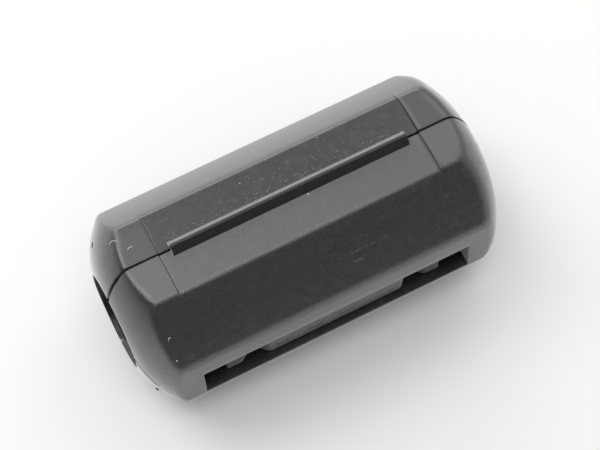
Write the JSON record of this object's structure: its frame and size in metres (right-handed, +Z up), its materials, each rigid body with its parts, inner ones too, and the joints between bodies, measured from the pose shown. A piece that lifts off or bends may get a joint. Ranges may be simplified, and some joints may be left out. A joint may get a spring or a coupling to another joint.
{
  "type": "clip-on ferrite bead",
  "caption": "Clip-on ferrite bead: a hinged octagonal black nylon case with domed ends that shuts a split ferrite sleeve around a cable to damp radio-frequency noise.",
  "frame": {"origin": "on the cable axis, half-way along the case", "axes": "+X along the cable, +Z up through the hinge facet, +Y towards the rear half"},
  "size_m": [0.036, 0.0176, 0.0181],
  "materials": {
    "nylon": "satin moulded black nylon",
    "ferrite": "dull ground ferrite"
  },
  "bodies": {
    "rear_half": {"rear_shell": "nylon", "rear_core": "ferrite", "living_hinge": "nylon"},
    "front_half": {"front_shell": "nylon", "front_core": "ferrite", "latch_tongue_left": "nylon", "latch_tongue_right": "nylon"}
  },
  "joints": [
    {"name": "case_hinge", "type": "hinge", "parent": "rear_half", "child": "front_half", "pos_m": [0, 0, 0.0091], "axis": [-1, 0, 0], "range_deg": [0, 180], "deforming": ["living_hinge", "latch_tongue_left", "latch_tongue_right"]}
  ]
}
